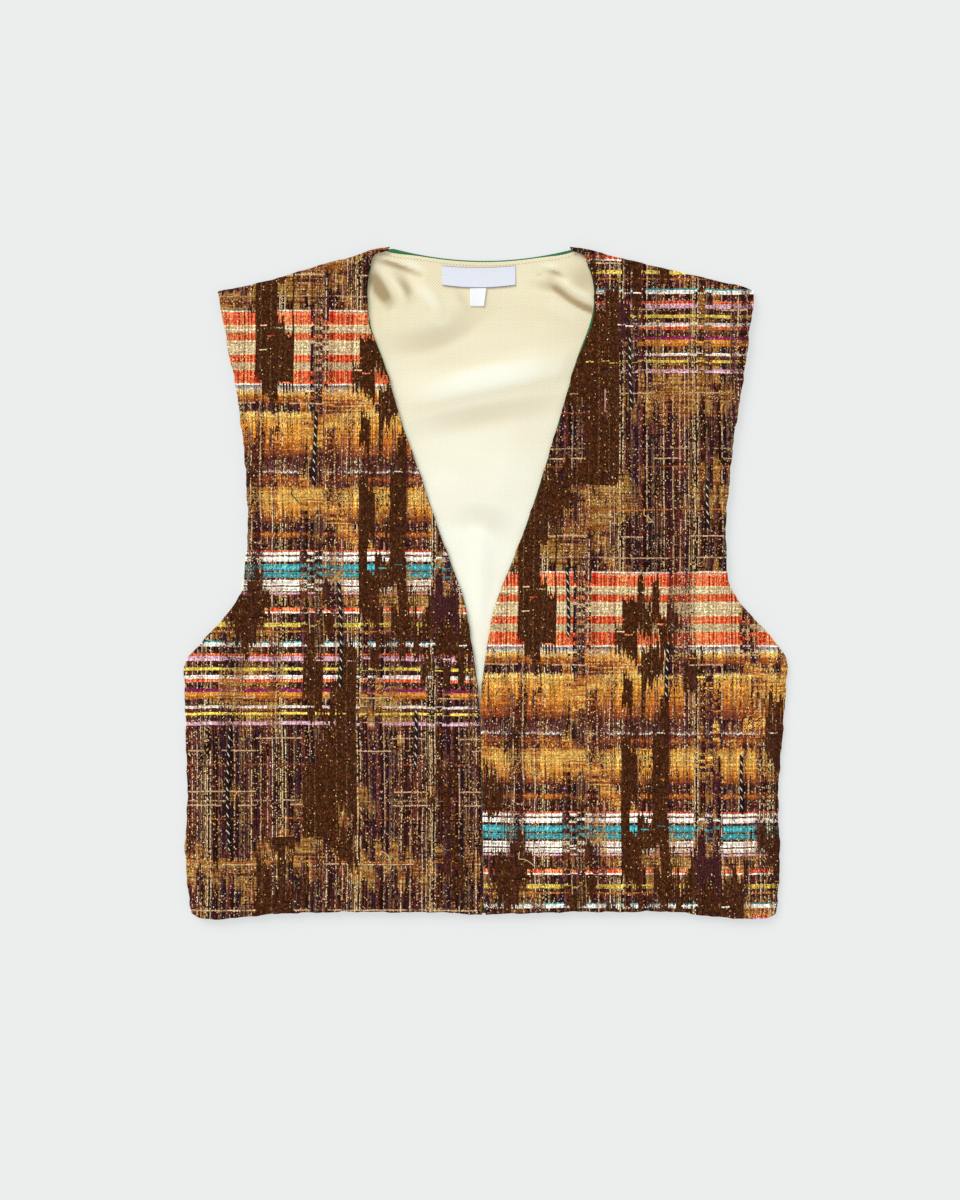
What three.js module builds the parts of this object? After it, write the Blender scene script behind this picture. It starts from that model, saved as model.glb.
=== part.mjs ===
// A cropped, sleeveless V-neck vest laid flat on its back with its fronts closed edge to edge.
// Millimetres. +X is to the right as seen from above, +Y goes from the hem to the shoulders, +Z is up.
// The origin is on the surface below the middle of the vest. Left and right are as seen from above.

import * as THREE from "three";

// Thickness of each cloth, and the gap that keeps two laid pieces apart
const SHELL = 1.6;
const LINING = 1.0;
const LABEL = 1.0;
const GAP = 0.3;

// Height of each layer's underside, from the surface up
const BACK_LINING_Z = SHELL + GAP;
const FRONT_LINING_Z = BACK_LINING_Z + LINING + GAP;
const FRONT_Z = FRONT_LINING_Z + LINING + GAP;
const LABEL_Z = FRONT_LINING_Z;

// Where a front is sewn to the back it comes down over this width, until it lies on the back shell
const SEAM_FALL = 11;
const SEAM_DROP = FRONT_Z - SHELL - GAP;

// The side seams run up to the underarm, and the armholes start above it
const SIDE_TOP = -74;
const ARMHOLE_START = -40;

// Half widths of the outer edges, from the hem corner up past the underarm to the shoulder tip
const OUTER_EDGE = [
  { y: -291.5, left: 258.0, right: 255.2 },
  { y: -282.0, left: 260.6, right: 256.8 },
  { y: -240.0, left: 264.6, right: 259.6 },
  { y: -200.0, left: 262.8, right: 257.6 },
  { y: -134.0, left: 263.8, right: 261.4 },
  { y: -88.0, left: 265.3, right: 265.3 },
  { y: -68.0, left: 263.4, right: 265.0 },
  { y: -55.0, left: 252.4, right: 257.4 },
  { y: -28.0, left: 228.6, right: 233.8 },
  { y: -8.0, left: 214.6, right: 217.8 },
  { y: 14.0, left: 211.6, right: 212.0 },
  { y: 60.0, left: 209.2, right: 212.2 },
  { y: 117.0, left: 212.8, right: 217.6 },
  { y: 170.0, left: 219.2, right: 225.2 },
  { y: 200.0, left: 226.0, right: 230.4 },
  { y: 223.0, left: 229.2, right: 232.4 },
  { y: 257.0, left: 236.4, right: 237.4 },
];

// Edges of the two fronts from the hem up the centre front and the V to the neck point
const INNER_EDGE = [
  { y: -292.0, left: -3.2, right: 0.2 },
  { y: -284.0, left: -2.0, right: -1.2 },
  { y: -272.0, left: -2.2, right: -1.4 },
  { y: -200.0, left: -3.4, right: -2.6 },
  { y: -116.0, left: -5.2, right: -4.4 },
  { y: -94.0, left: -6.6, right: -3.6 },
  { y: -68.0, left: -10.1, right: -0.4 },
  { y: -41.0, left: -14.5, right: 4.0 },
  { y: -15.0, left: -18.9, right: 10.1 },
  { y: 38.0, left: -38.3, right: 31.2 },
  { y: 90.0, left: -55.9, right: 48.8 },
  { y: 143.0, left: -74.4, right: 64.7 },
  { y: 196.0, left: -90.2, right: 80.5 },
  { y: 222.0, left: -100.6, right: 91.2 },
  { y: 240.0, left: -103.8, right: 95.4 },
  { y: 258.0, left: -104.2, right: 95.8 },
  { y: 274.0, left: -102.4, right: 93.0 },
  { y: 286.0, left: -99.0, right: 87.4 },
  { y: 290.0, left: -95.2, right: 84.0 },
  { y: 292.4, left: -85.2, right: 74.6 },
  { y: 296.0, left: -84.0, right: 73.5 },
];

// The hem, from the left corner to the right one: it sags at both corners and at the centre
const HEM = [
  { x: -258.0, y: -291.5 },
  { x: -252.0, y: -294.9 },
  { x: -238.0, y: -296.0 },
  { x: -202.0, y: -293.0 },
  { x: -163.0, y: -290.2 },
  { x: -104.0, y: -289.6 },
  { x: -44.0, y: -290.0 },
  { x: -3.2, y: -292.0 },
  { x: 0.2, y: -292.0 },
  { x: 48.0, y: -290.2 },
  { x: 110.0, y: -289.4 },
  { x: 167.0, y: -289.8 },
  { x: 204.0, y: -293.8 },
  { x: 232.0, y: -296.0 },
  { x: 247.5, y: -295.0 },
  { x: 255.2, y: -291.5 },
];

// How far each shoulder lies above the straight line from its tip to its neck point, along that line
const SHOULDER_RISE = [
  { share: 0.0, left: 0.0, right: 0.0 },
  { share: 0.06, left: -0.8, right: 1.7 },
  { share: 0.2, left: -2.0, right: 1.1 },
  { share: 0.4, left: -1.5, right: 1.3 },
  { share: 0.6, left: -0.2, right: 1.0 },
  { share: 0.8, left: 0.2, right: 1.1 },
  { share: 0.9, left: 1.7, right: 1.9 },
  { share: 1.0, left: 0.0, right: 0.0 },
];

// The back neck is a shallow curve
const BACK_NECK = { x: -1.0, y: 284.0, rise: 9.4, half: 75.0 };

// How far each layer stops inside the outline: at the armholes, the side seams, the shoulders, the shoulders' ends
// inside the V, the hem, and the back neck or the V edge, where a little less than nothing stands out
const BACK_SHELL_TRIM = { armhole: 0.5, side: 1.2, shoulder: 1.4, neckPoint: 1.4, hem: 1.0, neck: 0.0 };
const BACK_LINING_TRIM = { armhole: 1.2, side: 15.0, shoulder: 15.0, neckPoint: 2.4, hem: 8.0, neck: 1.3 };
const FRONT_LINING_TRIM = { armhole: 1.0, side: 15.0, shoulder: 15.0, hem: 8.0, neck: -0.5 };

// A trimmed layer leaves a side seam this far above it, clear of where the front comes down
const TRIM_LEAD = 24;

// Beside the V the shoulder seam is thick, so the front stays at its full height over this width
const NECK_FADE = 42;

// The label lies below the back neck and bows down in the middle; the tab hangs from its lower edge
const NECK_LABEL = { left: -38.3, right: 26.4, top: 279.6, bottom: 262.2, bow: 1.6, bowLow: 2.4 };
const SIZE_TAB = { left: -13.6, right: 0.8, leftLow: -13.6, rightLow: -1.3, top: 258.6, bottom: 243.6 };

const COLOURS = {
  jacquard: { color: 0x6a4630, roughness: 0.85, metalness: 0 },
  satin: { color: 0xeee4be, roughness: 0.5, metalness: 0 },
  green: { color: 0x123c26, roughness: 0.5, metalness: 0 },
  label: { color: 0xf2f5f9, roughness: 0.6, metalness: 0 },
};

const lerp = (a, b, share) => a + (b - a) * share;
const clamp01 = (value) => Math.min(Math.max(value, 0), 1);
const smoothStep = (value) => value * value * (3 - 2 * value);

// The value of one column of a table as a smooth function of another: cubic pieces whose slope at each row is that
// from the row before to the row after
function smoothThrough(rows, from, to) {
  const slopes = rows.map((row, i) => {
    const before = rows[Math.max(i - 1, 0)];
    const after = rows[Math.min(i + 1, rows.length - 1)];
    return (after[to] - before[to]) / (after[from] - before[from]);
  });
  return (at) => {
    let i = 0;
    while (i < rows.length - 2 && at > rows[i + 1][from]) i += 1;
    const span = rows[i + 1][from] - rows[i][from];
    const s = clamp01((at - rows[i][from]) / span);
    const rise = smoothStep(s);
    const startSlope = slopes[i] * span * s * (1 - s) * (1 - s);
    const endSlope = slopes[i + 1] * span * s * s * (1 - s);
    return lerp(rows[i][to], rows[i + 1][to], rise) + startSlope - endSlope;
  };
}

const hemAt = smoothThrough(HEM, "x", "y");
const outerAt = {
  left: smoothThrough(OUTER_EDGE, "y", "left"),
  right: smoothThrough(OUTER_EDGE, "y", "right"),
};
const innerAt = {
  left: smoothThrough(INNER_EDGE, "y", "left"),
  right: smoothThrough(INNER_EDGE, "y", "right"),
};
const SIDE_SIGN = { left: -1, right: 1 };
const TIP_Y = OUTER_EDGE.at(-1).y;
const CORNER_Y = OUTER_EDGE[0].y;
const NECK_Y = INNER_EDGE.at(-1).y;
const CENTRE_Y = INNER_EDGE[0].y;

// The shoulder line of one side, as the height at a share of the way from the tip to the neck point
const riseAt = {
  left: smoothThrough(SHOULDER_RISE, "share", "left"),
  right: smoothThrough(SHOULDER_RISE, "share", "right"),
};
const shoulderY = (side, share) => lerp(TIP_Y, NECK_Y, share) + riseAt[side](share);

// A point of one front's cloth. across runs from the outer edge to the inner one and up from the hem to the
// shoulder, both from 0 to 1. It is the four edges blended, so the grid follows all of them.
function frontPoint(side, across, up) {
  const outerY = lerp(CORNER_Y, TIP_Y, up);
  const innerY = lerp(CENTRE_Y, NECK_Y, up);
  const outerX = SIDE_SIGN[side] * outerAt[side](outerY);
  const x = lerp(outerX, innerAt[side](innerY), across);
  const hemX = lerp(SIDE_SIGN[side] * outerAt[side](CORNER_Y), innerAt[side](CENTRE_Y), across);
  const hemExtra = hemAt(hemX) - lerp(CORNER_Y, CENTRE_Y, across);
  const shoulderExtra = riseAt[side](across);
  return new THREE.Vector2(x, lerp(outerY, innerY, across) + hemExtra * (1 - up) + shoulderExtra * up);
}

// How much of a side seam there is at a height: all of it up to the underarm, and none at the armhole
const sideSeam = (y) => 1 - smoothStep(clamp01((y - SIDE_TOP) / (ARMHOLE_START - SIDE_TOP)));

// How far the front lies below its full height, from its distances to the side seam, the shoulder seam and the V edge
function seamDrop(toSide, toShoulder, toNeck, y) {
  const atSide = (1 - smoothStep(clamp01(toSide / SEAM_FALL))) * sideSeam(y);
  const atShoulder = (1 - smoothStep(clamp01(toShoulder / SEAM_FALL))) * smoothStep(clamp01(toNeck / NECK_FADE));
  return SEAM_DROP * Math.max(atSide, atShoulder);
}

// A mesh with its own material
function piece(name, geometry, colour) {
  geometry.computeVertexNormals();
  const mesh = new THREE.Mesh(geometry, new THREE.MeshStandardMaterial(colour));
  mesh.name = name;
  return mesh;
}

// Shares from 0 to 1 that start at the given distances from one edge of a length and then keep an even step
function shares(length, closeDistances, evenSteps) {
  const close = closeDistances.map((distance) => distance / length);
  const first = close.at(-1);
  const even = Array.from({ length: evenSteps }, (_, i) => lerp(first, 1, (i + 1) / evenSteps));
  return [...close, ...even];
}

// A front shell: two skins of one grid, a cloth's thickness apart, closed round the edges
function frontShell(side) {
  const CLOSE_ROWS = [0, 2.5, 5, 8, 11.5];
  const WIDTH = 250;
  const LENGTH = 560;
  const across = shares(WIDTH, CLOSE_ROWS, 7);
  const fromTop = shares(LENGTH, CLOSE_ROWS, 30);
  const up = fromTop.map((share) => 1 - share).reverse();
  const points = [];
  for (const height of [0, SHELL]) {
    for (const v of up) {
      for (const u of across) {
        const at = frontPoint(side, u, v);
        const toSide = Math.abs(at.x - frontPoint(side, 0, v).x);
        const toNeck = Math.abs(at.x - frontPoint(side, 1, v).x);
        const toShoulder = frontPoint(side, u, 1).y - at.y;
        const drop = seamDrop(toSide, toShoulder, toNeck, at.y);
        points.push(at.x, at.y, FRONT_Z - drop + height);
      }
    }
  }
  const columns = across.length;
  const rows = up.length;
  const top = columns * rows;
  const faces = [];
  const quad = (a, b, c, d) => faces.push(a, b, c, a, c, d);
  for (let r = 0; r < rows - 1; r += 1) {
    for (let c = 0; c < columns - 1; c += 1) {
      const at = r * columns + c;
      quad(at, at + columns, at + columns + 1, at + 1);
      quad(top + at, top + at + 1, top + at + columns + 1, top + at + columns);
    }
  }
  for (let r = 0; r < rows - 1; r += 1) {
    const outer = r * columns;
    const inner = outer + columns - 1;
    quad(outer, top + outer, top + outer + columns, outer + columns);
    quad(inner, inner + columns, top + inner + columns, top + inner);
  }
  for (let c = 0; c < columns - 1; c += 1) {
    const last = (rows - 1) * columns + c;
    quad(c, c + 1, top + c + 1, top + c);
    quad(last, top + last, top + last + 1, last + 1);
  }
  if (side === "right") faces.reverse();
  const geometry = new THREE.BufferGeometry();
  geometry.setAttribute("position", new THREE.Float32BufferAttribute(points, 3));
  geometry.setIndex(faces);
  return piece(`front_${side}`, geometry, COLOURS.jacquard);
}

// A flat layer of cloth cut to an outline and laid at a height
function flatCloth(name, outline, z, thickness, colour) {
  const geometry = new THREE.ExtrudeGeometry(new THREE.Shape(outline), { depth: thickness, bevelEnabled: false });
  geometry.translate(0, 0, z);
  return piece(name, geometry, colour);
}

// Even shares from 0 to 1, both ends included
const evenShares = (steps) => Array.from({ length: steps + 1 }, (_, i) => i / steps);

// The outer edge of a trimmed layer, from the hem up: the armhole is trimmed by one width and the side seam by another
function trimmedOuter(side, trim) {
  const EDGE_STEPS = 44;
  return evenShares(EDGE_STEPS).map((share) => {
    const y = lerp(CORNER_Y + trim.hem, TIP_Y - trim.shoulder, share);
    const inside = lerp(trim.armhole, trim.side, sideSeam(y - TRIM_LEAD));
    return new THREE.Vector2(SIDE_SIGN[side] * (outerAt[side](y) - inside), y);
  });
}

// The hem of a trimmed layer between two places
function trimmedHem(from, to, trim) {
  const HEM_STEPS = 24;
  const innerShares = evenShares(HEM_STEPS).slice(1, -1);
  return innerShares.map((share) => {
    const x = lerp(from, to, share);
    return new THREE.Vector2(x, hemAt(x) + trim.hem);
  });
}

// The height of one side's shoulder line at a place across
function shoulderLine(side, x) {
  const tipX = SIDE_SIGN[side] * outerAt[side](TIP_Y);
  return shoulderY(side, (tipX - x) / (tipX - innerAt[side](NECK_Y)));
}

// The widest place of one side's V edge
const vWidest = (side) => Math.max(...INNER_EDGE.map((row) => Math.abs(row[side])));

// The top of the back at a place across: the lower of the shoulder line and the back neck, each trimmed
function backTopY(x, trim) {
  const OVER = 4;
  const side = x < 0 ? "left" : "right";
  const outside = clamp01((Math.abs(x) - vWidest(side)) / OVER);
  const shoulder = shoulderLine(side, x) - lerp(trim.neckPoint, trim.shoulder, outside);
  const neck = BACK_NECK.y + BACK_NECK.rise * ((x - BACK_NECK.x) / BACK_NECK.half) ** 2 - trim.neck;
  return Math.min(shoulder, neck);
}

// The back, cut in one: the left edge down, the hem, the right edge up and the top back to the left
function backOutline(trim) {
  const TOP_STEPS = 80;
  const left = trimmedOuter("left", trim);
  const right = trimmedOuter("right", trim);
  const hem = trimmedHem(left[0].x, right[0].x, trim);
  const top = evenShares(TOP_STEPS).slice(1, -1).map((share) => {
    const x = lerp(right.at(-1).x, left.at(-1).x, share);
    return new THREE.Vector2(x, backTopY(x, trim));
  });
  return [...left.slice().reverse(), ...hem, ...right, ...top];
}

// One front's lining: outer edge, shoulder, V edge, centre front and hem
function frontLiningOutline(side, trim) {
  const SHOULDER_STEPS = 6;
  const V_STEPS = 40;
  const outer = trimmedOuter(side, trim);
  const inner = evenShares(V_STEPS).map((share) => {
    const y = lerp(NECK_Y - trim.shoulder, CENTRE_Y + trim.hem, share);
    const roll = y > 0 ? trim.neck : 0;
    return new THREE.Vector2(innerAt[side](y) + SIDE_SIGN[side] * roll, y);
  });
  const shoulder = evenShares(SHOULDER_STEPS).slice(1, -1).map((share) => {
    const x = lerp(outer.at(-1).x, inner[0].x, share);
    return new THREE.Vector2(x, shoulderLine(side, x) - trim.shoulder);
  });
  const hem = trimmedHem(inner.at(-1).x, outer[0].x, trim);
  return [...outer, ...shoulder, ...inner, ...hem];
}

// A label with straight ends, whose long edges bow down in the middle
function labelOutline(label) {
  const BOW_STEPS = 12;
  const bowed = (y, bow) => evenShares(BOW_STEPS).map((share) => {
    const x = lerp(label.left, label.right, share);
    return new THREE.Vector2(x, y - bow * 4 * share * (1 - share));
  });
  return [...bowed(label.bottom, label.bowLow), ...bowed(label.top, label.bow).reverse()];
}

const tabOutline = [
  new THREE.Vector2(SIZE_TAB.leftLow, SIZE_TAB.bottom),
  new THREE.Vector2(SIZE_TAB.rightLow, SIZE_TAB.bottom),
  new THREE.Vector2(SIZE_TAB.right, SIZE_TAB.top),
  new THREE.Vector2(SIZE_TAB.left, SIZE_TAB.top),
];

const vest = new THREE.Group();
vest.name = "vest";
vest.add(
  flatCloth("back_shell", backOutline(BACK_SHELL_TRIM), 0, SHELL, COLOURS.green),
  flatCloth("back_lining", backOutline(BACK_LINING_TRIM), BACK_LINING_Z, LINING, COLOURS.satin),
);
for (const side of ["left", "right"]) {
  const outline = frontLiningOutline(side, FRONT_LINING_TRIM);
  vest.add(flatCloth(`lining_${side}`, outline, FRONT_LINING_Z, LINING, COLOURS.green));
  vest.add(frontShell(side));
}
vest.add(
  flatCloth("neck_label", labelOutline(NECK_LABEL), LABEL_Z, LABEL, COLOURS.label),
  flatCloth("size_tab", tabOutline, LABEL_Z, LABEL, COLOURS.label),
);

export default vest;
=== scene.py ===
# A cropped, sleeveless V-neck vest of multicoloured jacquard, laid flat on its back with its fronts closed.
# The tables are in millimetres, with +X to the right as seen from above, +Y towards the shoulders and +Z up.
# Left and right are as seen from above.

import bpy
import numpy as np
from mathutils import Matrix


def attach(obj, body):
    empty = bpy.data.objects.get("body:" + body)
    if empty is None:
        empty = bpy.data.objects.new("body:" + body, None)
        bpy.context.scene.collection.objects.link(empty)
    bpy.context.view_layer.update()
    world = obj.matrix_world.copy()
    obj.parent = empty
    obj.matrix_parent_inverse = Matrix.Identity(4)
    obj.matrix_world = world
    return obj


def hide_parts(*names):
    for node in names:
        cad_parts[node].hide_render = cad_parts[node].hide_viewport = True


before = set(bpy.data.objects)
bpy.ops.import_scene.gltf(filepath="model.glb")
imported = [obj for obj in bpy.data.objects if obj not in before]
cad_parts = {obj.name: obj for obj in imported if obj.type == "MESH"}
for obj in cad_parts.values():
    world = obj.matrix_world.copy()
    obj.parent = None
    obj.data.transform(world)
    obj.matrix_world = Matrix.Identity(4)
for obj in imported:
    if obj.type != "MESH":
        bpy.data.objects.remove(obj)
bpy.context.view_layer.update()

# Camera
# The vest is seen from straight above with its shoulders at the top of the picture. A far camera with a long lens
# keeps the outline free of perspective.
MM = 0.001
PHOTO_HEIGHT = 1200
PIXEL = 0.88 * MM
VIEW_CENTRE = (-4.84 * MM, -14.96 * MM)
CLOTH_TOP = 6 * MM
CAMERA_RISE = 3.0
SENSOR = 36.0


def placed(name, data):
    """A new object in the scene that shows some data."""
    made = bpy.data.objects.new(name, data)
    bpy.context.scene.collection.objects.link(made)
    return made


camera_data = bpy.data.cameras.new("camera")
camera_data.sensor_width = SENSOR
camera_data.lens = SENSOR * CAMERA_RISE / (PHOTO_HEIGHT * PIXEL)
camera = placed("camera", camera_data)
camera.location = (*VIEW_CENTRE, CLOTH_TOP + CAMERA_RISE)
bpy.context.scene.camera = camera


# Floor and light
# A plain, very pale floor under an even white sky, with one wide soft lamp from the upper left.
FLOOR_COLOUR = (236, 238, 238)
FLOOR_Z = -0.3 * MM
FLOOR_HALF = 6.0
FLOOR_GLOW = 0.68
SKY_STRENGTH = 0.66
LAMP_STRENGTH = 1.9
LAMP_SPREAD = 35
LAMP_TURN = (55, 0, 220)


def tone(red, green, blue):
    """A screen colour of 0 to 255 as the linear colour, with full alpha, that shaders take."""
    screen = np.array([red, green, blue]) / 255
    linear = np.where(screen <= 0.04045, screen / 12.92, ((screen + 0.055) / 1.055) ** 2.4)
    return (*linear.tolist(), 1.0)


class Value:
    """One output of a shader node. Arithmetic and comparisons on it add the nodes that work them out."""

    def __init__(self, socket):
        self.socket = socket

    def __add__(self, other):
        return calc("ADD", self, other)

    def __sub__(self, other):
        return calc("SUBTRACT", self, other)

    def __rsub__(self, other):
        return calc("SUBTRACT", other, self)

    def __mul__(self, other):
        return calc("MULTIPLY", self, other)

    def __truediv__(self, other):
        return calc("DIVIDE", self, other)

    def __floordiv__(self, pace):
        return calc("FLOOR", self / pace)

    def __mod__(self, length):
        return calc("FLOORED_MODULO", self, length)

    def __gt__(self, level):
        return calc("GREATER_THAN", self, level)

    def __lt__(self, level):
        return calc("LESS_THAN", self, level)


def fill(socket, value):
    """A node's input given a value: a node's output is linked to it, and None leaves the input as it is."""
    if isinstance(value, Value):
        socket.id_data.links.new(value.socket, socket)
    elif value is not None:
        socket.default_value = value


def node(kind, inputs=(), output=0, tree=None, **settings):
    """One output of a new shader node, with its settings made and its inputs filled in order. It goes into the tree
    of its inputs, unless a tree is given."""
    if tree is None:
        tree = next(value.socket.id_data for value in inputs if isinstance(value, Value))
    made = tree.nodes.new(kind)
    for name, value in settings.items():
        setattr(made, name, value)
    for socket, value in zip(made.inputs, inputs):
        fill(socket, value)
    return Value(made.outputs[output])


def outputs_of(value, count):
    """The first outputs of the node that a value comes from."""
    return [Value(output) for output in value.socket.node.outputs[:count]]


def calc(operation, *inputs):
    """One step of arithmetic on values in a shader."""
    return node("ShaderNodeMath", inputs, operation=operation)


def cloth_material(name, roughness, colour=None, sheen=0.0, gloss=0.3):
    """A material and the inputs of its one Principled shader, which hold the constant values themselves."""
    material = bpy.data.materials.new(name)
    material.use_nodes = True
    shader = material.node_tree.nodes["Principled BSDF"].inputs
    for label, value in [("Base Color", colour), ("Roughness", roughness), ("Specular IOR Level", gloss),
                         ("Sheen Weight", sheen)]:
        fill(shader[label], value)
    return material, shader


bpy.context.scene.view_settings.view_transform = "Standard"
floor_tone = tone(*FLOOR_COLOUR)
sky = bpy.data.worlds.new("sky")
sky.use_nodes = True
sky_nodes = sky.node_tree.nodes
sky_nodes["Background"].inputs["Color"].default_value = (1, 1, 1, 1)
sky_nodes["Background"].inputs["Strength"].default_value = SKY_STRENGTH
seen_directly = node("ShaderNodeLightPath", tree=sky.node_tree)
seen_sky = node("ShaderNodeBackground", [floor_tone, 1.0], tree=sky.node_tree)
sky_mix = node("ShaderNodeMixShader", [seen_directly, Value(sky_nodes["Background"].outputs[0]), seen_sky])
fill(sky_nodes["World Output"].inputs["Surface"], sky_mix)
bpy.context.scene.world = sky

lamp_data = bpy.data.lights.new("soft_lamp", "SUN")
lamp_data.energy = LAMP_STRENGTH
lamp_data.angle = np.radians(LAMP_SPREAD)
lamp = placed("soft_lamp", lamp_data)
lamp.rotation_euler = np.radians(LAMP_TURN)

floor_base = (*(np.array(floor_tone[:3]) * (1 - FLOOR_GLOW)), 1.0)
floor_material, floor_shader = cloth_material("pale_floor", 0.95, floor_base, gloss=0.0)
floor_shader["Emission Color"].default_value = floor_tone
floor_shader["Emission Strength"].default_value = FLOOR_GLOW
floor_data = bpy.data.meshes.new("floor")
floor_corners = [(x * FLOOR_HALF, y * FLOOR_HALF, FLOOR_Z) for x, y in ((-1, -1), (1, -1), (1, 1), (-1, 1))]
floor_data.from_pydata(floor_corners, [], [(0, 1, 2, 3)])
floor_data.materials.append(floor_material)
floor = placed("floor", floor_data)


# Back shell
# The back is cut in one of smooth dark green cloth. It lies on the surface and shows as a fine green line along the
# back neck, with a sliver beside the right armhole and at the right hem corner.
SHELL = 1.6
SHELL_GREEN = (26, 108, 58)
SHELL_TRIM = {"armhole": 0.5, "side": 1.2, "shoulder": 1.4, "neck_point": 1.4, "hem": 1.0, "neck": 0.0}
SHELL_PEEKS = {"left": [(60, 6, 0.6)], "right": [(31, 9, 1.9), (-289, 5, 2.2)], "neck": []}

# The grid across and along: each length, and the pace from point to point
SHELL_GRID = [(528, 5), (587, 5)]


def named_table(columns, rows):
    """Rows of numbers as a table whose columns have names."""
    return np.array(rows, dtype=[(name, float) for name in columns.split()])


# Half widths of the outer edges, from the hem corner up past the underarm to the shoulder tip
OUTER_EDGE = named_table("y left right", [
    (-291.5, 258, 255.2), (-282, 260.6, 256.8), (-240, 264.6, 259.6), (-200, 262.8, 257.6), (-134, 263.8, 261.4),
    (-88, 265.3, 265.3), (-68, 263.4, 265), (-55, 252.4, 257.4), (-28, 228.6, 233.8), (-8, 214.6, 217.8),
    (14, 211.6, 212), (60, 209.2, 212.2), (117, 212.8, 217.6), (170, 219.2, 225.2), (200, 226, 230.4),
    (223, 229.2, 232.4), (257, 236.4, 237.4),
])

# The inner edges, from the hem up the centre front and the V to the neck point
INNER_EDGE = named_table("y left right", [
    (-292, -3.2, 0.2), (-284, -2, -1.2), (-272, -2.2, -1.4), (-200, -3.4, -2.6), (-116, -5.2, -4.4),
    (-94, -6.6, -3.6), (-68, -10.1, -0.4), (-41, -14.5, 4), (-15, -18.9, 10.1), (38, -38.3, 31.2),
    (90, -55.9, 48.8), (143, -74.4, 64.7), (196, -90.2, 80.5), (222, -100.6, 91.2), (240, -103.8, 95.4),
    (258, -104.2, 95.8), (274, -102.4, 93), (286, -99, 87.4), (290, -95.2, 84), (292.4, -85.2, 74.6),
    (296, -84, 73.5),
])

# The hem sags at both corners and at the centre
HEM = named_table("x y", [
    (-258, -291.5), (-252, -294.9), (-238, -296), (-202, -293), (-163, -290.2), (-104, -289.6), (-44, -290),
    (-3.2, -292), (0.2, -292), (48, -290.2), (110, -289.4), (167, -289.8), (204, -293.8), (232, -296),
    (247.5, -295), (255.2, -291.5),
])

# How far each shoulder lies above the straight line from its tip to its neck point
SHOULDER_RISE = named_table("share left right", [
    (0, 0, 0), (0.06, -0.8, 1.7), (0.2, -2, 1.1), (0.4, -1.5, 1.3), (0.6, -0.2, 1), (0.8, 0.2, 1.1),
    (0.9, 1.7, 1.9), (1, 0, 0),
])

BACK_NECK = {"x": -1.0, "y": 284.0, "rise": 9.4, "half": 75.0}
SIDE_SIGN = {"left": -1, "right": 1}
CORNER_Y = OUTER_EDGE["y"][0]
TIP_Y = OUTER_EDGE["y"][-1]
CENTRE_Y = INNER_EDGE["y"][0]
NECK_Y = INNER_EDGE["y"][-1]

# The side seams run up to the underarm, and the armholes start above it
SIDE_TOP = -74
ARMHOLE_START = -40
TRIM_LEAD = 24
TRIM_FADE = 4


def smooth_through(table, source, target, at):
    """One column of a table as a smooth function of another: a cubic between two rows, whose slope at each row is
    that from the row before to the row after."""
    x, y = table[source], table[target]
    rows = np.arange(len(x))
    before, after = np.maximum(rows - 1, 0), np.minimum(rows + 1, len(x) - 1)
    slope = (y[after] - y[before]) / (x[after] - x[before])
    at = np.asarray(at, float)
    i = np.searchsorted(x[1:-1], at)
    span = x[i + 1] - x[i]
    s = np.clip((at - x[i]) / span, 0, 1)
    level = y[i] + (y[i + 1] - y[i]) * s * s * (3 - 2 * s)
    return level + span * s * (1 - s) * (slope[i] * (1 - s) - slope[i + 1] * s)


def step(at, start, end):
    """0 before start, 1 after end, and smooth between them."""
    s = np.clip((np.asarray(at, float) - start) / (end - start), 0, 1)
    return s * s * (3 - 2 * s)


def mixed(a, b, share):
    """The value that share of the way from a to b."""
    return a + (b - a) * share


def outer_x(side, y):
    """The outer edge's place across, signed, at a height."""
    return SIDE_SIGN[side] * smooth_through(OUTER_EDGE, "y", side, y)


def inner_x(side, y):
    """The inner edge's place across at a height."""
    return smooth_through(INNER_EDGE, "y", side, y)


def shoulder_y(side, share):
    """The shoulder line at a share of the way from its tip to its neck point: a straight line and its rise."""
    return mixed(TIP_Y, NECK_Y, share) + smooth_through(SHOULDER_RISE, "share", side, share)


def side_seam(y):
    """1 along the side seam, 0 along the armhole and smooth between them."""
    return 1 - step(y, SIDE_TOP, ARMHOLE_START)


def peeks(side, y, places):
    """How far an edge shows past its neighbours: a bell of a half length and a reach round each place."""
    return sum((reach * np.exp(-((y - at) / half) ** 2) for at, half, reach in places[side]), np.zeros_like(y))


def trimmed_edge(side, shares, trim, places):
    """One outer edge of a layer from the hem up, moved in by the trim of the armhole or the side seam."""
    y = mixed(CORNER_Y + trim["hem"], TIP_Y - trim["shoulder"], shares)
    inside = mixed(trim["armhole"], trim["side"], side_seam(y - TRIM_LEAD)) - peeks(side, y, places)
    return np.stack([outer_x(side, y) - SIDE_SIGN[side] * inside, y], -1)


def shoulder_over(side, x):
    """The height of a shoulder line at a place across."""
    tip, neck = outer_x(side, TIP_Y), inner_x(side, NECK_Y)
    return shoulder_y(side, np.clip((tip - x) / (tip - neck), 0, 1))


def back_top_y(x, trim, places):
    """The back's top edge: the lower of the two shoulder lines and the shallow curve of the neck, each trimmed. The
    neck is cut a little lower where the layer below it shows."""
    lines = []
    for side, sign in SIDE_SIGN.items():
        past_v = np.clip((sign * x - np.abs(INNER_EDGE[side]).max()) / TRIM_FADE, 0, 1)
        line = shoulder_over(side, x) - mixed(trim["neck_point"], trim["shoulder"], past_v)
        lines.append(np.where(sign * x >= 0, line, np.inf))
    curve = BACK_NECK["y"] + BACK_NECK["rise"] * ((x - BACK_NECK["x"]) / BACK_NECK["half"]) ** 2 - trim["neck"]
    return np.minimum(np.minimum(*lines), curve - peeks("neck", x, places))


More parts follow.
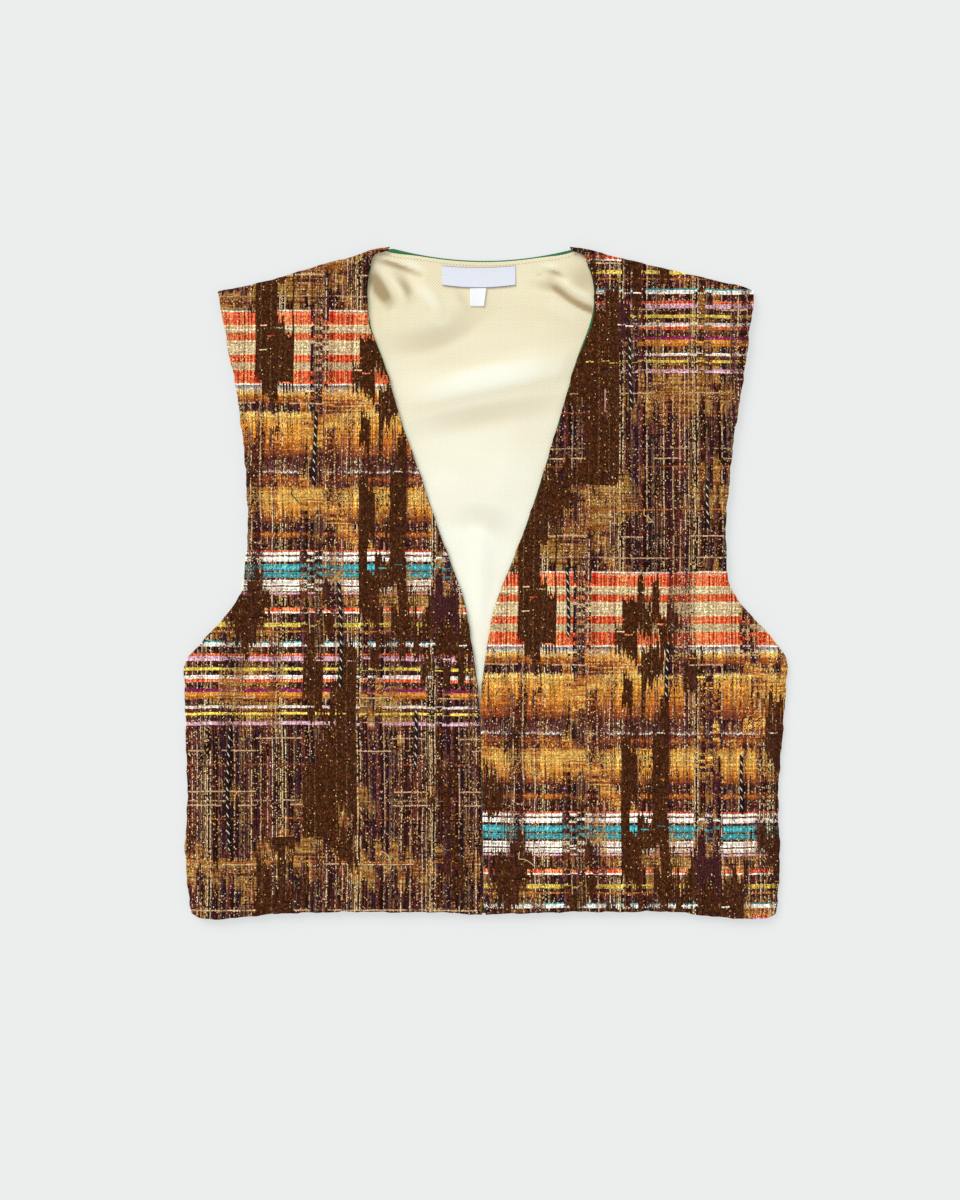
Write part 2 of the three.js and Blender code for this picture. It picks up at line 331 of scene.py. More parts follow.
def rim_shares(length, pace, rim=(0.0, 0.06, 0.2, 0.45, 0.8)):
    """Shares from 0 to 1 along a length: close together at both ends, where the cloth's edge is rounded."""
    close = np.array(rim) / length
    middle = np.linspace(close[-1], 1 - close[-1], int(length / pace))
    return np.concatenate([close[:-1], middle, 1 - close[:-1][::-1]])


def halved(shares, low, high):
    """Shares with every gap that lies between two of them from low to high halved."""
    middles = (shares[1:] + shares[:-1]) / 2
    return np.sort(np.concatenate([shares, middles[(middles > low) & (middles < high)]]))


def filled(left, right, low, high, across, up):
    """A grid inside four edges: the sum of the two blends of opposite edges less the blend of the four corners."""
    u, v = across[None, :, None], up[:, None, None]
    sides = mixed(left[:, None], right[:, None], u)
    ends = mixed(low[None], high[None], v)
    corners = mixed(mixed(low[0], low[-1], u), mixed(high[0], high[-1], u), v)
    return sides + ends - corners


def edge_distance(points):
    """How far each point of a grid is from the nearest end of its row or column."""
    rims = [points[:, :1], points[:, -1:], points[:1], points[-1:]]
    return np.min([np.linalg.norm(points - rim, axis=-1) for rim in rims], axis=0)


def finished(name, vertices, faces, material, slot, nodes=()):
    """A smooth mesh object from points in millimetres and a list of faces, riding on the vest's one body."""
    data = bpy.data.meshes.new(name)
    data.from_pydata(vertices * MM, [], faces)
    data.polygons.foreach_set("use_smooth", np.ones(len(data.polygons), bool))
    data.materials.append(material)
    data.update()
    piece = placed(name, data)
    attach(piece, "root")
    if nodes:
        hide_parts(*nodes)
    return piece


def grid_quads(index, turned=False):
    """The faces of a grid of vertex numbers, counterclockwise from above, or from below if turned."""
    corners = [index[:-1, :-1], index[:-1, 1:], index[1:, 1:], index[1:, :-1]]
    if turned:
        corners.reverse()
    return np.stack(corners, -1).reshape(-1, 4)


def cut_corners(quads, rows, columns, turned):
    """The faces of a grid of points as a list, each corner face cut in two from the grid's own corner, so that two
    skins with one rim don't share a whole triangle there."""
    wide = columns - 1
    corners = [0, wide - 1, wide * (rows - 1) - 1, wide * (rows - 2)]
    triangles = []
    for turn, place in enumerate(corners):
        a, b, c, d = np.roll(quads[place], turn + 1 if turned else -turn).tolist()
        triangles += [[a, b, c], [a, c, d]]
    return np.delete(quads, corners, 0).tolist() + triangles


def sheet_mesh(node_name, points, low, high, material, slot):
    """A closed sheet of cloth: two skins on one grid, from low to high, whose edge is rounded as half a circle, so
    that they meet in the rim's own points."""
    middle, half = (low + high) / 2, (high - low) / 2
    inwards = np.clip(edge_distance(points) / half.mean(), 0, 1)
    half = half * np.sqrt(np.clip(1 - (1 - inwards) ** 2, 0, 1))
    rows, columns = middle.shape
    top = np.arange(rows * columns).reshape(rows, columns)
    under = top.copy()
    under[1:-1, 1:-1] = rows * columns + np.arange((rows - 2) * (columns - 2)).reshape(rows - 2, columns - 2)
    flip = points[0, 0, 0] > points[0, -1, 0]
    faces = cut_corners(grid_quads(top, flip), rows, columns, flip)
    faces += cut_corners(grid_quads(under, not flip), rows, columns, not flip)
    upper = np.concatenate([points, (middle + half)[..., None]], -1).reshape(-1, 3)
    lower = np.concatenate([points, (middle - half)[..., None]], -1)[1:-1, 1:-1].reshape(-1, 3)
    vertices = np.concatenate([upper, lower])
    return finished(f"{node_name}_cloth", vertices, faces, material, slot, [node_name])


def blend(share, first, second, mode="MIX"):
    """Two colours mixed by a share."""
    return node("ShaderNodeMix", [share, *[None] * 5, first, second], 2, data_type="RGBA", blend_type=mode)


def ramp(position, stops, held=True):
    """Colours by position from 0 to 1: held from each stop to the next, or blended between them."""
    made = node("ShaderNodeValToRGB", [position])
    colours = made.socket.node.color_ramp
    colours.interpolation = "CONSTANT" if held else "LINEAR"
    while len(colours.elements) < len(stops):
        colours.elements.new(1.0)
    for element, (at, colour) in zip(colours.elements, stops):
        element.position = at
        element.color = colour
    return made


def spread(value, low, high, first=0.0, last=1.0):
    """A value's way from low to high as a way from first to last, held at both ends."""
    return node("ShaderNodeMapRange", [value, low, high, first, last])


def cloth_place(material):
    """A point of the cloth in millimetres, as its place across and its place along."""
    place = node("ShaderNodeTexCoord", output=3, tree=material.node_tree)
    scaled = node("ShaderNodeVectorMath", [place, (1 / MM, 1 / MM, 1 / MM)], operation="MULTIPLY")
    return outputs_of(node("ShaderNodeSeparateXYZ", [scaled]), 2)


def cloud(x, y, detail=2.0, seed=0.0):
    """Soft noise from 0 to 1 at a place in a plane, another cloud for each seed."""
    at = node("ShaderNodeCombineXYZ", [x, y, seed])
    return node("ShaderNodeTexNoise", [at, None, 1.0, detail], noise_dimensions="3D")


def toss(x, y, seed=0.0):
    """One value from 0 to 1 for each pair of whole numbers, another throw for each seed."""
    at = node("ShaderNodeCombineXYZ", [x, y, seed])
    return node("ShaderNodeTexWhiteNoise", [at], noise_dimensions="3D")


def relief(shader, height, depth, strength):
    """A height from 0 to 1 as bumps of a depth in millimetres on the shader's normal."""
    fill(shader["Normal"], node("ShaderNodeBump", [strength, depth * MM, None, height]))


def new_group(name, inputs, outputs):
    """A new node group, its inputs as values, and the sockets that its outputs, each of a kind, are filled by."""
    group = bpy.data.node_groups.new(name, "ShaderNodeTree")
    for label in inputs:
        group.interface.new_socket(label, in_out="INPUT", socket_type="NodeSocketFloat")
    for label, kind in outputs:
        group.interface.new_socket(label, in_out="OUTPUT", socket_type=f"NodeSocket{kind}")
    entry, leave = group.nodes.new("NodeGroupInput"), group.nodes.new("NodeGroupOutput")
    return group, [Value(entry.outputs[label]) for label in inputs], leave.inputs


def yarn_group():
    """A node group for plain woven yarns: their crossings as a height, and a small uneven tint for each yarn."""
    outputs = [("Height", "Float"), ("Tint", "Float")]
    group, (across, along, pitch), leave = new_group("yarns", ["Across", "Along", "Pitch"], outputs)
    x, y = across / pitch, along / pitch
    fill(leave["Height"], calc("SINE", x * np.pi) * calc("SINE", y * np.pi) * 0.5 + 0.5)
    warp, weft = toss(calc("FLOOR", x), 0.0, 1.0), toss(calc("FLOOR", y), 0.0, 2.0)
    fill(leave["Tint"], (warp + weft) * 0.5)
    return group


yarns = yarn_group()


def woven(across, along, pitch):
    """The height and the tint of yarns with a pitch in millimetres."""
    return outputs_of(node("ShaderNodeGroup", [across, along, pitch], node_tree=yarns), 2)


def green_cloth():
    """Smooth, slightly shiny dark green cloth with fine yarns."""
    material, shader = cloth_material("green_cloth", 0.55, sheen=0.1, gloss=0.4)
    across, along = cloth_place(material)
    height, tint = woven(across, along, 0.5)
    dark, light = [tone(*(np.array(SHELL_GREEN) * part)) for part in (0.8, 1.2)]
    fill(shader["Base Color"], blend(cloud(across / 60, along / 60) * 0.6 + tint * 0.4, dark, light))
    relief(shader, height, 0.15, 0.5)
    return material


def with_ends(shares, values, first, last):
    """Values along an edge, whose two ends are given."""
    return np.where((shares > 0) & (shares < 1), values, mixed(first, last, shares))


def hem_line(start, end, shares, trim):
    """The hem from one place across to another, raised by a trim; both ends stay at the corners."""
    x = mixed(start[0], end[0], shares)
    return np.stack([x, with_ends(shares, smooth_through(HEM, "x", "y", x) + trim, start[1], end[1])], -1)


def back_grid(across, up, trim, places):
    """The whole back as a grid, from its left edge to its right one and from the hem to the shoulders and neck."""
    left, right = [trimmed_edge(side, up, trim, places) for side in ("left", "right")]
    low = hem_line(left[0], right[0], across, trim["hem"])
    top_x = mixed(left[-1, 0], right[-1, 0], across)
    top_y = with_ends(across, back_top_y(top_x, trim, places), left[-1, 1], right[-1, 1])
    return filled(left, right, low, np.stack([top_x, top_y], -1), across, up)


green = green_cloth()
shell_across, shell_up = [rim_shares(*size) for size in SHELL_GRID]
shell_points = back_grid(shell_across, shell_up, SHELL_TRIM, SHELL_PEEKS)
shell_low = np.zeros(shell_points.shape[:2])
back_shell = sheet_mesh("back_shell", shell_points, shell_low, shell_low + SHELL, green, "back_cloth")


# Back lining
# The back is lined with cream satin twill, which fills the V. It is turned in just below the back neck, with a row of
# small stitches that holds the turning, and it lies in a few soft folds. Its colour is painted paler down the V and
# on the raised folds as painted highlight, and darker in the sunk folds as painted shade.
LINING = 1.0
LINING_Z = SHELL + 0.3
LINING_CREAM = tone(252, 243, 205)
# The paler cream, for uneven tone and for the painted highlight down the V and on the raised folds
LINING_PALE_AND_PAINTED_LIGHT = tone(255, 255, 238)
LINING_SHADE = tone(206, 188, 146)
# Painted shade, put on the lining in its sunk folds
LINING_PAINTED_SHADE = tone(172, 150, 108)
LINING_TRIM = {"armhole": 1.2, "side": 15.0, "shoulder": 15.0, "neck_point": 2.4, "hem": 8.0, "neck": 1.3}
LINING_PEEKS = {"left": [(5, 26, 3.0)], "right": [(-20, 8, 1.0)], "neck": [(-84, 17, 2.8), (70, 14, 1.5)]}
LINING_RISE = 1.6
RISE_WIDTH = 40
FOLD_MARGIN = 14
LINING_GRID = [(500, 4), (575, 4)]
TWILL_PITCH = 2.0
TWILL_TURN = np.radians(-42)
# The fold height at which the lining's painted highlight and painted shade are full
FOLD_PAINTED_LIGHT_HEIGHT = 2.2

# Each fold runs from a start to an end and bows to one side. It is a ridge, or a trough where its height is negative,
# with one half width on the side that it bows to and another on the far side.
FOLDS = named_table("x y end_x end_y bow near far height", [
    (-100, 286, -57, 271.5, 2, 1.6, 4.2, -2.2), (-80, 284, -52, 272, 2, 5, 2.6, 1.2),
    (-102, 275, -84, 246, -1, 6, 6.5, -3.3), (-88, 274, -72, 247, 2, 4, 2.2, 1.1),
    (-80, 270, -66, 249, 2, 7, 3, -1.9), (-66, 267, -38, 231, 3, 7, 6, 1.3), (-84, 207, -2, 239, -9, 9, 14, -0.9),
    (-24, 257, -16, 242, 0, 4, 5, -0.6), (-78, 160, 82, 193, 2.5, 15, 13, 2.3), (-62, 136, 66, 158, 3, 9, 12, -0.7),
    (54, 276, 70, 269, 1.5, 1.6, 3.6, -2), (50, 277.5, 66, 276, 1, 3, 2, 0.9),
    (44, 272.5, 49.5, 271, 0, 1.2, 1.6, -1), (36, 282, 74, 283, -1, 3.5, 3.5, 0.6),
    (80, 280, 93, 256, 0, 11, 8, -1.2), (44, 263, 67, 257, 0, 4, 7, -1), (58, 264, 110, 236, -5, 3.5, 6.5, -2.9),
    (66, 268, 106, 246, -4, 6, 4, 1.9), (48, 246, 86, 226, 4, 9, 9, 0.8), (-44, 96, 38, 88, 4, 20, 20, 0.9),
    (-30, 60, 24, 48, 3, 14, 12, -0.5), (-8, 44, -6, -30, 2, 10, 8, 0.8),
])


def fold_height(points):
    """The height of the folds at each point: a flat-topped bell across each fold's bowed line, exp(-a**3), faded
    out at its ends."""
    total = np.zeros(points.shape[:-1])
    for fold in FOLDS:
        start = np.array([fold["x"], fold["y"]])
        run = np.array([fold["end_x"], fold["end_y"]]) - start
        length = np.linalg.norm(run)
        along = ((points - start) @ run) / length ** 2
        aside = ((points - start) @ np.array([-run[1], run[0]])) / length
        inside = np.clip(along, 0, 1)
        aside = aside - fold["bow"] * 4 * inside * (1 - inside)
        half = np.where(aside * np.sign(fold["bow"]) >= 0, fold["near"], fold["far"])
        past = (along - inside) * length / (0.5 * (fold["near"] + fold["far"]))
        shape = np.exp(-np.abs(aside / half) ** 3 - past ** 2)
        total += fold["height"] * shape * mixed(0.35, 1.0, np.sin(np.pi * inside))
    return total


def inside_v(points, width):
    """1 well inside the V and under the back neck, falling to 0 at their edges over a width."""
    y = points[..., 1]
    y_in_v = np.clip(y, CENTRE_Y, NECK_Y)
    from_left = points[..., 0] - inner_x("left", y_in_v)
    from_right = inner_x("right", y_in_v) - points[..., 0]
    from_neck = BACK_NECK["y"] - y
    nearest = np.minimum(np.minimum(from_left, from_right), from_neck)
    return step(nearest, 0, width)


def lining_lift(points):
    """How far the lining stands above its lowest place: a soft rise inside the V, with the folds on it."""
    rise = LINING_RISE * inside_v(points, RISE_WIDTH)
    return np.maximum(rise + fold_height(points) * inside_v(points, FOLD_MARGIN), 0)


def kept_value(material, name):
    """A value for each point that a piece's mesh keeps for its material."""
    return node("ShaderNodeAttribute", output=2, tree=material.node_tree, attribute_name=name)


def keep_values(piece, name, values):
    """Values for a piece's points, kept on its mesh for its material."""
    piece.data.attributes.new(name, "FLOAT", "POINT").data.foreach_set("value", values.astype(np.float32))


def flat_places(piece):
    """The places across and along of a piece's points."""
    places = np.empty(len(piece.data.vertices) * 3)
    piece.data.vertices.foreach_get("co", places)
    return places.reshape(-1, 3)[:, :2] / MM


def satin_twill():
    """Cream satin twill: fine slanting rows and soft uneven colour, with painted highlight down the V and on the
    raised folds and painted shade in the sunk ones.
    """
    material, shader = cloth_material("satin_twill", 0.42, sheen=0.15, gloss=0.45)
    across, along = cloth_place(material)
    slant = across * np.cos(TWILL_TURN) + along * np.sin(TWILL_TURN)
    rows = calc("SINE", slant * (2 * np.pi / TWILL_PITCH)) * 0.5 + 0.5
    height, tint = woven(across, along, 0.45)
    fold = kept_value(material, "fold")
    painted_trough_shade = calc("MAXIMUM", fold * -1.0, 0.0)

    # Painted light: the cream is painted paler down the V and on the raised folds as painted highlight, and darker in
    # the sunk folds as painted shade; the cloud adds uneven tone, and the twill rows fade where the light is painted
    pale = cloud(across / 70, along / 34, 1.0) * 0.5 + spread(along, 50.0, 250.0, 0.75, -0.1)
    pale = calc("MAXIMUM", calc("MINIMUM", pale, 1.0), calc("MAXIMUM", fold, 0.0))
    colour = blend(painted_trough_shade, blend(pale, LINING_CREAM, LINING_PALE_AND_PAINTED_LIGHT), LINING_PAINTED_SHADE)
    rowed = (rows * -0.62 + tint * -0.16 + 0.76) * (pale * -0.95 + 1.0) * (1.0 - painted_trough_shade)
    fill(shader["Base Color"], blend(rowed, colour, LINING_SHADE))
    relief(shader, rows + height * 0.5, 0.14, 0.5)
    return material


satin = satin_twill()
lining_across, lining_up = [rim_shares(*size) for size in LINING_GRID]
lining_points = back_grid(halved(lining_across, 0.28, 0.7), halved(lining_up, 0.86, 0.995), LINING_TRIM, LINING_PEEKS)
lining_low = LINING_Z + lining_lift(lining_points)
back_lining = sheet_mesh("back_lining", lining_points, lining_low, lining_low + LINING, satin, "satin_lining")
# Each point's fold height, kept for the lining's painted highlight on ridges and painted shade in troughs
keep_values(back_lining, "fold", np.clip(fold_height(flat_places(back_lining)) / FOLD_PAINTED_LIGHT_HEIGHT, -1, 1))

# The row of stitches: short, thin and just below the top edge
STITCH = {"start": -92.0, "end": 80.0, "pitch": 2.9, "half": 0.85, "wide": 0.3, "high": 0.25, "below": 3.2,
          "lift": 0.05}


def tube_quads(rings, sides):
    """The faces of a closed tube whose points run ring by ring: its wall, and a fan of faces over each end."""
    index = np.arange(rings * sides).reshape(rings, sides)
    fan = np.arange(1, sides - 1, 2)[:, None] + np.array([0, 1, 2])
    fan = np.concatenate([np.zeros((len(fan), 1), int), fan], 1) % sides
    wall = grid_quads(np.concatenate([index, index[:, :1]], 1))
    return np.concatenate([wall, index[0][fan][:, ::-1], index[-1][fan]])


def beads(centres, directions, half_long, half_wide, half_high):
    """Flattened eight-sided beads, one at each centre and lying along its direction, as one mesh."""
    turns = np.arange(8) * np.pi / 4
    rings = [(-1.0, 0.3), (-0.5, 1.0), (0.5, 1.0), (1.0, 0.3)]
    aside = np.stack([-directions[:, 1], directions[:, 0], np.zeros(len(directions))], -1)
    ahead = np.concatenate([directions, np.zeros((len(directions), 1))], -1)
    points = np.concatenate([centres[:, None] + ahead[:, None] * half_long * place
                             + aside[:, None] * half_wide * size * np.cos(turns)[None, :, None]
                             + np.array([0, 0, 1.0]) * half_high * size * np.sin(turns)[None, :, None]
                             for place, size in rings], 1)
    starts = points.shape[1] * np.arange(len(centres))
    quads = tube_quads(len(rings), 8) + starts[:, None, None]
    return points.reshape(-1, 3), quads.reshape(-1, 4).tolist()


def on_lining(points):
    """The height of the lining's upper face."""
    return LINING_Z + lining_lift(points) + LINING


stitch_material = cloth_material("stitch_thread", 0.7, LINING_SHADE, sheen=0.2)[0]
stitch_x = np.arange(STITCH["start"], STITCH["end"], STITCH["pitch"])
stitch_y = back_top_y(stitch_x, LINING_TRIM, LINING_PEEKS) - STITCH["below"]
stitch_points = np.stack([stitch_x, stitch_y], -1)
stitch_runs = np.gradient(stitch_points, axis=0)
stitch_runs /= np.linalg.norm(stitch_runs, axis=1)[:, None]
stitch_height = on_lining(stitch_points) + STITCH["lift"]
stitch_centres = np.concatenate([stitch_points, stitch_height[:, None]], -1)
stitch_mesh = beads(stitch_centres, stitch_runs, STITCH["half"], STITCH["wide"], STITCH["high"])
finished("neck_stitches", *stitch_mesh, stitch_material, "satin_lining")


# Front linings
# Each front is lined with the same dark green cloth as the back. Only its turned edge shows, as a fine line along the
# upper part of the V.
FRONT_LINING_Z = LINING_Z + LINING + 0.3
FRONT_LINING_TRIM = {"armhole": 1.0, "side": 15.0, "shoulder": 15.0, "hem": 8.0, "neck": 0.1}
FRONT_LINING_PEEKS = {"left": [(228, 24, 0.6)], "right": [(220, 22, 1.3)]}
FRONT_LINING_GRID = [(230, 6), (560, 5)]


def front_lining_grid(side, across, up, trim):
    """One front's lining: its outer edge, the V edge let out a little, the hem and the shoulder, each trimmed."""
    outer = trimmed_edge(side, up, trim, {side: []})
    y = mixed(CENTRE_Y + trim["hem"], NECK_Y - trim["shoulder"], up)
    let_out = step(y, -10, 20) * (trim["neck"] + peeks(side, y, FRONT_LINING_PEEKS))
    inner = np.stack([inner_x(side, y) - SIDE_SIGN[side] * let_out, y], -1)
    low = hem_line(outer[0], inner[0], across, trim["hem"])
    x = mixed(outer[-1, 0], inner[-1, 0], across)
    line = with_ends(across, shoulder_over(side, x) - trim["shoulder"], outer[-1, 1], inner[-1, 1])
    return filled(outer, inner, low, np.stack([x, line], -1), across, up)


for side in ("left", "right"):
    across, up = [rim_shares(*size) for size in FRONT_LINING_GRID]
    points = front_lining_grid(side, across, up, FRONT_LINING_TRIM)
    low = np.full(points.shape[:2], FRONT_LINING_Z)
    front_lining = sheet_mesh(f"lining_{side}", points, low, low + LINING, green, "back_cloth")


# Fronts
# Each front is one piece of thick jacquard in many colours, turned in all round. The two are cut from one long
# repeat at different heights. They come down onto the back at the side seams and the shoulders.
FRONT_Z = FRONT_LINING_Z + LINING + 0.3
SEAM_FALL = 11
SEAM_DROP = FRONT_Z - SHELL - 0.3
NECK_FADE = 42
EDGE_WAVES = [(9, 0.16, 0.7), (17, 0.26, 2.9), (31, 0.34, 1.3), (74, 0.3, 4.4)]
SURFACE_WAVES = [(96, 61, 0.16, 0.4), (41, 150, 0.10, 2), (160, 38, 0.12, 3.7)]

REPEAT = 540.0
CUT_HEIGHT = {"left": 316, "right": 86.0}
CUT_ACROSS = {"left": 262, "right": 31.0}
WARP_REPEAT = 66.0
PANEL_REPEAT = 290.0
PANEL_ENDS = (220, 400)
FRONT_GRID = [(250, 2.7), (570, 2.7)]

# Widths of a warp, of a column of warps and of a crossing, and heights of a weft, of a crossing and of a small check
YARN = 0.88
COLUMN = 6.6
CROSSING = (0.9, 1.0)
PICK = 1.2
CHECK = 3.6

# Levels above which a cloud or a toss lets the brown ground, the gold warps, a warp yarn or the reds show
BROWN_LEVEL = 0.66
GOLD_LEVEL = 0.6
WARP_LEVEL = 0.66
RED_LEVEL = 0.52

BLACK_BROWN = tone(32, 16, 11)
DARK_BROWN = tone(54, 30, 17)
BROWN = tone(62, 34, 17)
PLUM = tone(66, 30, 42)
NIGHT = tone(36, 26, 38)
DARK_GREEN = tone(44, 44, 38)
MAROON = tone(106, 48, 40)
RUST = tone(164, 84, 42)
DEEP_RED = tone(164, 34, 22)
RED = tone(206, 58, 34)
ORANGE_RED = tone(240, 98, 56)
LIGHT_ORANGE = tone(252, 150, 98)
AMBER = tone(198, 110, 40)
GOLD = tone(234, 158, 64)
LIGHT_GOLD = tone(250, 204, 106)
BEIGE = tone(200, 162, 124)
CREAM = tone(214, 188, 146)
PALE = tone(248, 238, 226)
YELLOW = tone(236, 208, 88)
OLIVE = tone(134, 108, 66)
MAUVE = tone(112, 74, 66)
PINK = tone(228, 178, 196)
MAGENTA = tone(150, 44, 92)
TEAL = tone(72, 162, 170)

# Colours by a value from 0 to 1: of the warps and of the ground, where each holds from its place to the next, of the
# gold warps and the red wefts, which run into each other, and of the flecks
WARP_COLOURS = [(0.0, BLACK_BROWN), (0.14, BROWN), (0.22, MAUVE), (0.3, BEIGE), (0.35, NIGHT), (0.44, MAROON),
                (0.54, MAUVE), (0.6, CREAM), (0.63, BLACK_BROWN), (0.72, OLIVE), (0.77, BEIGE), (0.8, PLUM),
                (0.9, GOLD)]
GROUND_COLOURS = [(0.0, DARK_BROWN), (0.36, PLUM), (0.56, NIGHT), (0.7, DARK_GREEN), (0.78, MAROON),
                  (0.88, BLACK_BROWN)]
GOLD_COLOURS = [(0.34, PLUM), (0.44, RUST), (0.52, AMBER), (0.62, GOLD), (0.76, LIGHT_GOLD)]
RED_COLOURS = [(0.2, DEEP_RED), (0.36, RED), (0.54, ORANGE_RED), (0.72, LIGHT_ORANGE)]
FLECK_COLOURS = [(0.0, LIGHT_GOLD), (0.3, CREAM), (0.52, PALE), (0.64, GOLD), (0.8, BLACK_BROWN)]

# Factors that a colour is multiplied by: along a weft, from weft to weft and from crossing to crossing
STREAK_TINTS = [(0.12, (0.55, 0.34, 0.3, 1)), (0.32, (0.84, 0.72, 0.68, 1)), (0.5, (1.0, 1.0, 1.0, 1)),
                (0.85, (1.16, 1.45, 1.36, 1))]
WEFT_TINTS = [(0.0, (0.74, 0.7, 0.68, 1)), (0.7, (1.0, 1.0, 1.0, 1)), (1.0, (1.3, 1.36, 1.4, 1))]
GRAIN_TINTS = [(0.0, (0.5, 0.46, 0.44, 1)), (0.5, (0.94, 0.92, 0.9, 1)), (1.0, (1.7, 1.78, 1.85, 1))]


def waves(at, table, shift):
    """A sum of sine waves along an edge, each of a length, a height and a phase."""
    return sum(height * np.sin(2 * np.pi * at / length + phase + shift) for length, height, phase in table)


def front_grid(side, across, up):
    """One front's cloth inside its outer edge, its V and centre edge, the hem and the shoulder line; the edges are
    a little wavy, as a turned thick cloth is."""
    shift = 0.0 if side == "left" else 2.2
    y = mixed(CORNER_Y, TIP_Y, up)
    outer = np.stack([outer_x(side, y) + waves(y, EDGE_WAVES, shift), y], -1)
    y = mixed(CENTRE_Y, NECK_Y, up)
    open_part = step(y, -110, -80)
    inner = np.stack([inner_x(side, y) + open_part * waves(y, EDGE_WAVES, shift + 1.1), y], -1)
    x = mixed(outer[0, 0], inner[0, 0], across)
    ends = np.sin(np.pi * across) ** 0.25
    low_y = smooth_through(HEM, "x", "y", x) + ends * waves(x, EDGE_WAVES, shift + 0.6)
    low = np.stack([x, low_y], -1)
    x = mixed(outer[-1, 0], inner[-1, 0], across)
    high = np.stack([x, shoulder_y(side, across) + 0.6 * ends * waves(x, EDGE_WAVES, shift + 3.0)], -1)
    return filled(outer, inner, low, high, across, up)


def swell(x, y):
    """The soft unevenness of a front laid flat: a sum of products of sine waves across and along."""
    return sum(height * (1 + np.sin(2 * np.pi * x / wide + phase) * np.sin(2 * np.pi * y / long + phase))
               for wide, long, height, phase in SURFACE_WAVES)


def front_low(points):
    """The height of a front's underside: level, down to the back at its seams, with very soft unevenness."""
    x, y = points[..., 0], points[..., 1]
    to_side = np.abs(x - x[:, :1])
    to_neck = np.abs(x - x[:, -1:])
    to_shoulder = y[-1:, :] - y
    at_side = (1 - step(to_side, 0, SEAM_FALL)) * side_seam(y)
    at_shoulder = (1 - step(to_shoulder, 0, SEAM_FALL)) * step(to_neck, 0, NECK_FADE)
    return FRONT_Z - SEAM_DROP * np.maximum(at_side, at_shoulder) + swell(x, y)


# The cloth's weft stripes along one repeat, from the top down: where each zone starts, how much of the weft shows in
# it, and its stripes as a start within the zone and a colour
ZONES = {
    "streaks": (0, 0.75, [
        (0, BLACK_BROWN), (14, PLUM), (21, AMBER), (22.2, NIGHT), (40, MAROON), (41.6, NIGHT), (54, BLACK_BROWN),
        (63, BEIGE), (64.2, PLUM), (70, BLACK_BROWN)]),
    "bars": (76, 0.97, [
        (0, PALE), (1.2, RED), (13, CREAM), (20, ORANGE_RED), (26.5, CREAM), (39, RED), (46, CREAM),
        (53, ORANGE_RED), (64.6, PALE)]),
    "gold": (142, 0.62, [
        (0, NIGHT), (5, PALE), (6.2, LIGHT_GOLD), (12, AMBER), (16, RUST), (17, PLUM), (24, NIGHT), (25, BEIGE),
        (26.2, LIGHT_GOLD), (36, GOLD), (52, AMBER), (60, RUST), (66, MAROON), (76, MAUVE), (77, PALE),
        (78.2, MAROON), (84, RUST), (90, PLUM), (91, GOLD), (98, LIGHT_GOLD), (110, GOLD), (119, RUST),
        (124, NIGHT), (130, PLUM), (131, AMBER), (134, AMBER), (135, MAROON), (141, BLACK_BROWN)]),
    "teal": (287, 0.84, [
        (0, RED), (1.6, PALE), (4.4, NIGHT), (5.6, PALE), (10, NIGHT), (12.2, TEAL), (18, NIGHT), (19.2, TEAL),
        (24, NIGHT), (26.4, PALE), (31, MAROON), (32.4, PALE), (36, NIGHT), (37.4, PINK), (39, MAROON)]),
    "lines": (329, 0.96, [
        (0, NIGHT), (8, ORANGE_RED), (12, PALE), (13.2, BLACK_BROWN), (22, YELLOW), (25.4, PLUM), (29, AMBER),
        (30.4, NIGHT), (38, TEAL), (39.6, PALE), (43, BLACK_BROWN), (49, RED), (51.4, PINK), (55.4, PLUM),
        (61, YELLOW), (63.8, NIGHT), (68, PALE), (71.4, ORANGE_RED), (74.4, NIGHT), (80, MAGENTA), (83, GOLD),
        (86.4, AMBER), (88.6, BLACK_BROWN), (95, PALE), (97.4, MAROON), (101, YELLOW), (103.4, NIGHT), (109, PINK),
        (112.4, PLUM)]),
    "brown": (449, 0.6, [
        (0, BROWN), (26, RUST), (27.4, BROWN), (41, PLUM), (58, BEIGE), (59.2, DARK_BROWN), (74, AMBER),
        (75.2, BLACK_BROWN)]),
}

# Panels across the cloth in which the weave changes, at three heights of the repeat: where each starts, and how much
# of it is covered by the brown ground, is covered by the plum ground, and is broken into small checks
PANELS = {
    "high": [
        (0, 0, 0, 0), (16, 0, 0, 0.2), (34, 0, 0, 0), (60, 1, 0, 0), (94, 0, 0, 0), (108, 0, 0.5, 0.9),
        (124, 0, 0, 0.2), (151, 0, 0, 0), (192, 0.1, 0.2, 0.4), (216, 0, 0, 0), (254, 0, 0.4, 1), (270, 0, 0, 0.1)],
    "middle": [
        (0, 0.1, 0, 0.4), (21, 0, 0, 0), (52, 0, 0.1, 0.6), (66, 0, 0, 0), (98, 0.1, 0, 1), (118, 0, 0.1, 0.5),
        (138, 0, 0, 0), (150, 1, 0, 0), (192, 0, 0, 0), (214, 0, 0.6, 1), (240, 0, 0, 0), (268, 0, 0.1, 0.4)],
    "low": [
        (0, 0, 0.1, 0), (27, 0.1, 0, 0.5), (48, 0, 0, 0), (70, 0, 0, 0.6), (82, 0, 0, 0), (100, 1, 0, 0),
        (148, 0, 0.6, 0.9), (172, 0, 0, 0.4), (190, 0, 0, 0), (210, 0.1, 0, 1), (230, 0, 0, 0), (246, 0, 0.3, 0.6),
        (266, 0, 0, 0)],
}


